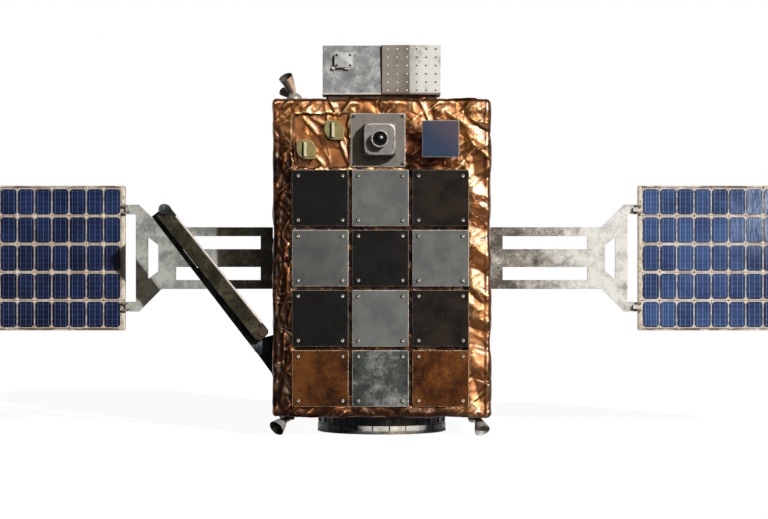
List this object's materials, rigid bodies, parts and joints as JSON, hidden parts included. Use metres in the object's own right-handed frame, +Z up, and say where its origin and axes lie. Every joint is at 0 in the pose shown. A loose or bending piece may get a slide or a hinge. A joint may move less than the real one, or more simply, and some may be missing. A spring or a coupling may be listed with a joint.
{
  "type": "small satellite",
  "caption": "Foil-wrapped box satellite on a separation ring, with equipment plates, camera, thrusters, a folded side boom and turning solar wings.",
  "frame": {"origin": "centre of the separation ring's lower face, on the floor", "axes": "+X along the wings to the right, +Y from the equipment face to the back, +Z up"},
  "size_m": [2.3694, 0.6237, 0.9445],
  "materials": {
    "structure": "machined honeycomb panel",
    "foil": "crinkled copper-coloured film",
    "plate_dark": "satin black coating, bare edges",
    "plate_light": "satin grey coating, bare edges",
    "plate_copper": "brown oxidised metal",
    "plate_silver": "mottled bare metal",
    "camera_grey": "grey cast metal",
    "lens_glass": "polished black glass",
    "bare_metal": "bare metal",
    "blue_mirror": "blue coated mirror",
    "khaki": "khaki conversion coating",
    "galvanised": "cloudy zinc-grey sheet",
    "perforated": "warm grey perforated sheet",
    "nozzle_steel": "heat-tinted steel",
    "dark_mount": "dark grey metal",
    "ring_black": "black anodised metal",
    "shoe_silver": "bare clamp segments",
    "yoke_metal": "weathered light metal with grey patches",
    "hinge_brown": "dark brown metal",
    "panel_beige": "beige film with brown stains",
    "solar_cell": "blue cells under cover glass",
    "boom_olive": "olive-bronze metal, bright edges",
    "boom_cap": "dark brown caps"
  },
  "bodies": {
    "bus": {"bus_walls": "structure", "bus_deck_top": "structure", "bus_deck_bottom": "structure", "foil_front": "foil", "foil_back": "foil", "foil_left": "foil", "foil_right": "foil", "foil_top": "foil", "foil_bottom": "foil", "plates_dark": "plate_dark", "plates_light": "plate_light", "plates_copper": "plate_copper", "plates_silver": "plate_silver", "rear_radiator": "plate_light", "camera_plate": "camera_grey", "camera_housing": "camera_grey", "camera_barrel": "camera_grey", "camera_lens": "lens_glass", "mirror_frame": "bare_metal", "mirror_glass": "blue_mirror", "antenna_knobs": "khaki", "top_box_plain": "galvanised", "top_box_cover": "galvanised", "top_box_perforated": "perforated", "top_box_feet": "bare_metal", "thruster_dome": "nozzle_steel", "thruster_top_bells": "nozzle_steel", "thruster_mounts": "dark_mount", "thruster_bells": "nozzle_steel", "separation_ring": "ring_black", "clamp_shoes": "shoe_silver", "drive_housing_left": "bare_metal", "drive_housing_right": "bare_metal", "boom_shoulder": "boom_olive"},
    "left_hub": {"drive_hub_left": "bare_metal"},
    "left_yoke": {"yoke_left": "yoke_metal", "hinge_lugs_left": "hinge_brown"},
    "left_panel": {"panel_left": "panel_beige", "cells_left": "solar_cell", "hinge_knuckles_left": "hinge_brown"},
    "right_hub": {"drive_hub_right": "bare_metal"},
    "right_yoke": {"yoke_right": "yoke_metal", "hinge_lugs_right": "hinge_brown"},
    "right_panel": {"panel_right": "panel_beige", "cells_right": "solar_cell", "hinge_knuckles_right": "hinge_brown"},
    "boom_lower": {"boom_lower_arm": "boom_olive", "boom_elbow_cap": "boom_cap"},
    "boom_upper": {"boom_upper_arm": "boom_olive", "boom_end_cap": "boom_cap"}
  },
  "joints": [
    {"name": "left_drive", "type": "hinge", "parent": "bus", "child": "left_hub", "pos_m": [-0.2665, 0, 0.4315], "axis": [1, 0, 0], "continuous": true},
    {"name": "left_yoke_fold", "type": "hinge", "parent": "left_hub", "child": "left_yoke", "pos_m": [-0.2795, 0.0125, 0.4315], "axis": [0, 0, -1], "range_deg": [0, 90]},
    {"name": "left_panel_fold", "type": "hinge", "parent": "left_yoke", "child": "left_panel", "pos_m": [-0.64035, -0.011, 0.4315], "axis": [0, 0, 1], "range_deg": [0, 180]},
    {"name": "right_drive", "type": "hinge", "parent": "bus", "child": "right_hub", "pos_m": [0.2665, 0, 0.4315], "axis": [1, 0, 0], "continuous": true},
    {"name": "right_yoke_fold", "type": "hinge", "parent": "right_hub", "child": "right_yoke", "pos_m": [0.2795, 0.0125, 0.4315], "axis": [0, 0, 1], "range_deg": [0, 90]},
    {"name": "right_panel_fold", "type": "hinge", "parent": "right_yoke", "child": "right_panel", "pos_m": [0.64035, -0.011, 0.4315], "axis": [0, 0, -1], "range_deg": [0, 180]},
    {"name": "boom_shoulder", "type": "hinge", "parent": "bus", "child": "boom_lower", "pos_m": [-0.29, -0.197, 0.2164], "axis": [0, -1, 0], "range_deg": [0, 52.5]},
    {"name": "boom_elbow", "type": "hinge", "parent": "boom_lower", "child": "boom_upper", "pos_m": [-0.52507, -0.221, 0.54904], "axis": [0, 1, 0], "range_deg": [0, 180]}
  ],
  "couplings": [
    {"joint": "left_panel_fold", "follows": "left_yoke_fold", "ratio": 2},
    {"joint": "right_panel_fold", "follows": "right_yoke_fold", "ratio": 2}
  ]
}
